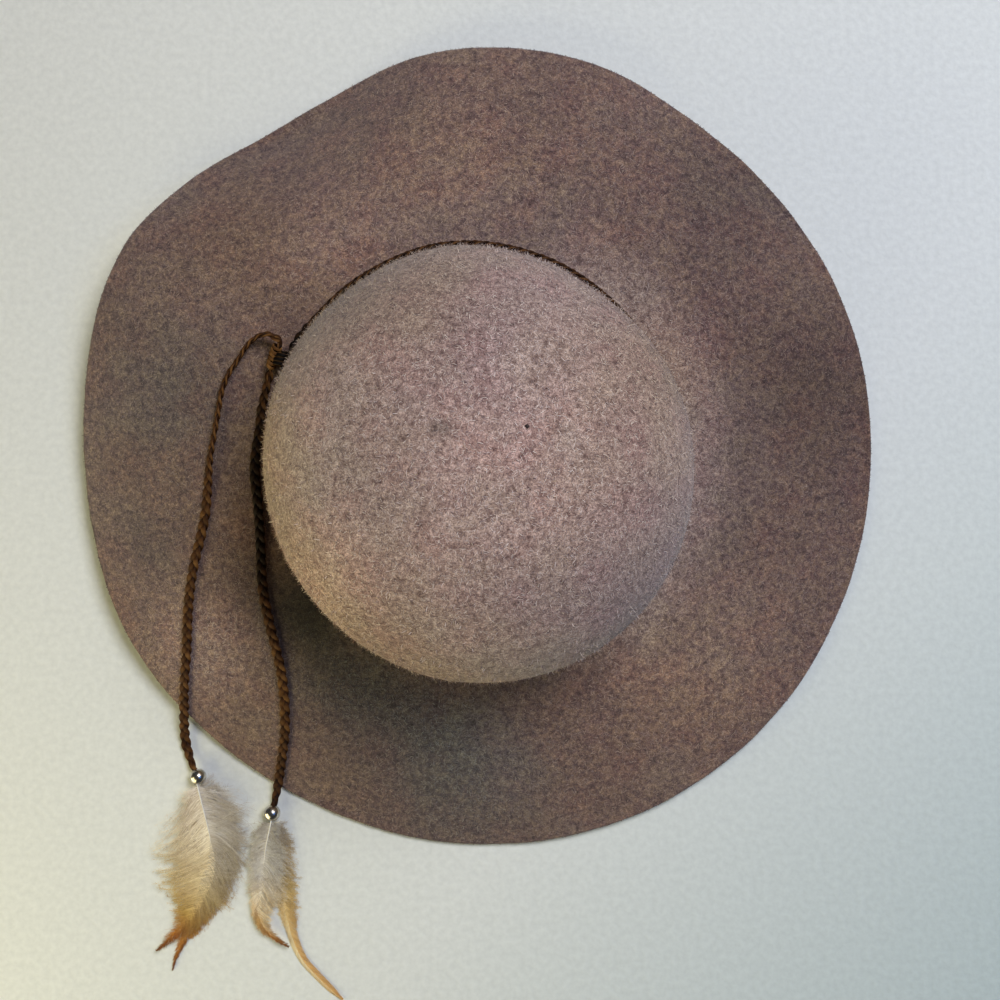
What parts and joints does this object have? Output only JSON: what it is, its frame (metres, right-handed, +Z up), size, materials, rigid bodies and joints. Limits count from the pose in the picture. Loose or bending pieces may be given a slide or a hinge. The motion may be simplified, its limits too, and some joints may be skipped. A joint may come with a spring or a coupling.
{
  "type": "floppy felt hat",
  "caption": "Wide-brimmed felt hat with a rounded crown and a wavy drooping brim, tied round the crown with a braided leather cord that ends in metal beads and feathers.",
  "frame": {"origin": "on the ground under the middle of the hat, at the middle of the box of the felt, band and knot", "axes": "+Z up along the hat's height; the knot is on the -X side, and the cord's loose ends run towards -Y"},
  "size_m": [0.3781, 0.4592, 0.1391],
  "materials": {
    "wool_felt": "heathered wool felt, brushed to a short nap",
    "braided_leather": "waxed leather lace, three strands braided flat",
    "polished_metal": "polished round bead",
    "pale_feather": "downy feather, cream and grey with a golden-brown tip",
    "golden_feather": "hackle feather, golden tan with a brown tip"
  },
  "bodies": {
    "root": {"felt_body": "wool_felt", "hat_band": "braided_leather", "band_knot": "braided_leather", "tie_left": "braided_leather", "tie_right": "braided_leather", "bead_left": "polished_metal", "bead_right": "polished_metal", "feather_left_upper": "pale_feather", "feather_left_lower": "golden_feather", "feather_right_upper": "pale_feather", "feather_right_lower": "golden_feather"}
  },
  "joints": []
}
